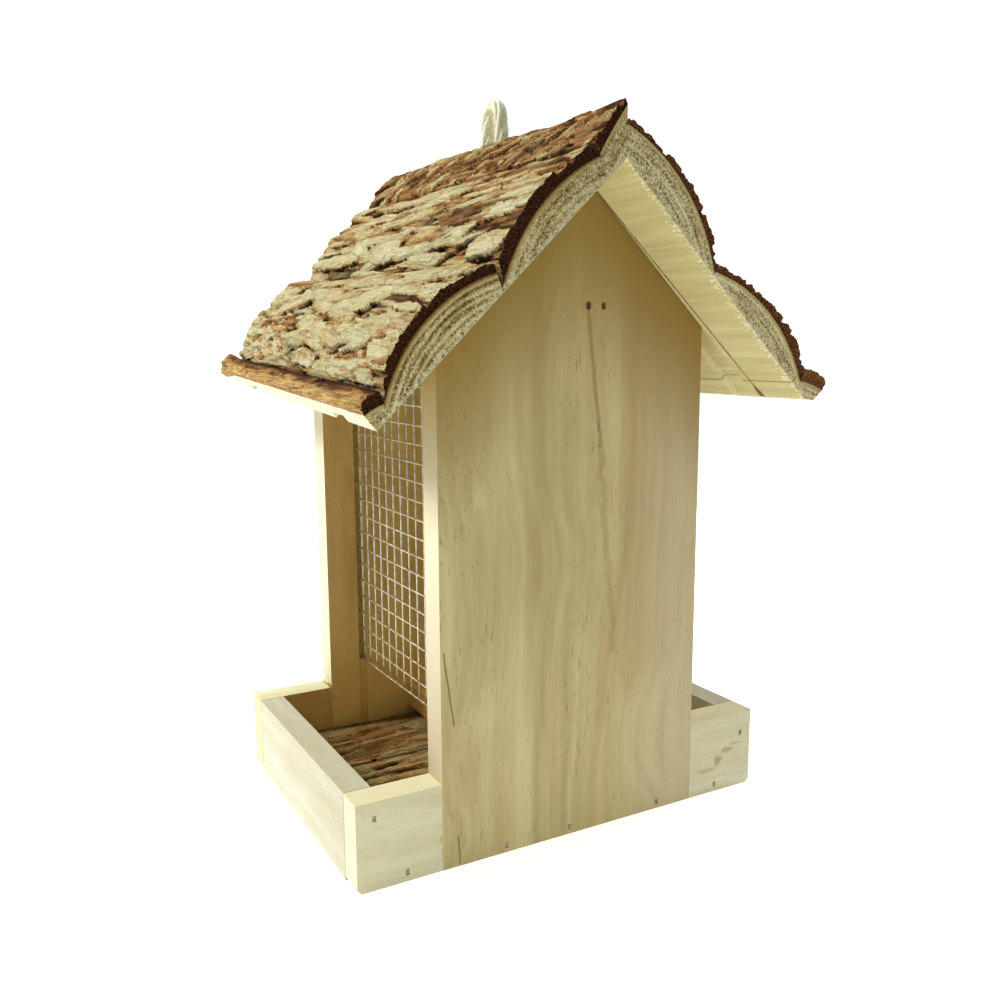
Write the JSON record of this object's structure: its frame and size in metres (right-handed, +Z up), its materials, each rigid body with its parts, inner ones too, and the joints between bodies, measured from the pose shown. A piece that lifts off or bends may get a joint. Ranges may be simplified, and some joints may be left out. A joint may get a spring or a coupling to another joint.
{
  "type": "bird feeder",
  "caption": "Small hopper bird feeder in pale wood with a bark-slab gable roof that lifts off, wire mesh sides, a seed tray at each side and a rope hanging loop.",
  "frame": {"origin": "centre of the hopper's underside, on the surface the feeder stands on", "axes": "+Z up; +Y along the roof ridge, from the front gable to the back gable; +X across the ridge, towards the right-hand seed tray"},
  "size_m": [0.1634, 0.159, 0.2418],
  "materials": {
    "board_wood": "planed, unfinished pale pine",
    "slab_wood": "rough sawn, unfinished",
    "bark": "flaky dry conifer bark",
    "mesh_wire": "galvanised",
    "brad_steel": "dull",
    "rope": "twisted natural fibre"
  },
  "bodies": {
    "hopper": {"gable_front": "board_wood", "gable_back": "board_wood", "tray_rail_front_left": "board_wood", "tray_rail_front_right": "board_wood", "tray_rail_back_left": "board_wood", "tray_rail_back_right": "board_wood", "tray_end_left": "board_wood", "tray_end_right": "board_wood", "floor_slab_front": "slab_wood", "floor_slab_back": "slab_wood", "floor_bark_front": "bark", "floor_bark_back": "bark", "seed_divider": "board_wood", "mesh_left": "mesh_wire", "mesh_right": "mesh_wire", "mesh_stop_sticks": "board_wood", "rope_bar": "board_wood", "hanging_rope": "rope", "rope_knots": "rope", "brads_gable_to_floor": "brad_steel", "brads_gable_to_bar": "brad_steel", "brads_rail_to_floor": "brad_steel", "brads_rail_to_end": "brad_steel"},
    "roof": {"roof_slab_left_ridge": "slab_wood", "roof_slab_left_upper": "slab_wood", "roof_slab_left_lower": "slab_wood", "roof_slab_left_eave": "slab_wood", "roof_slab_right_upper": "slab_wood", "roof_slab_right_lower": "slab_wood", "roof_slab_right_eave": "slab_wood", "roof_bark_left_ridge": "bark", "roof_bark_left_upper": "bark", "roof_bark_left_lower": "bark", "roof_bark_left_eave": "bark", "roof_bark_right_upper": "bark", "roof_bark_right_lower": "bark", "roof_bark_right_eave": "bark", "brads_ridge": "brad_steel"}
  },
  "joints": [
    {"name": "roof_lift", "type": "slide", "parent": "hopper", "child": "roof", "axis": [0, 0, 1], "range_m": [0, 0.105]}
  ]
}
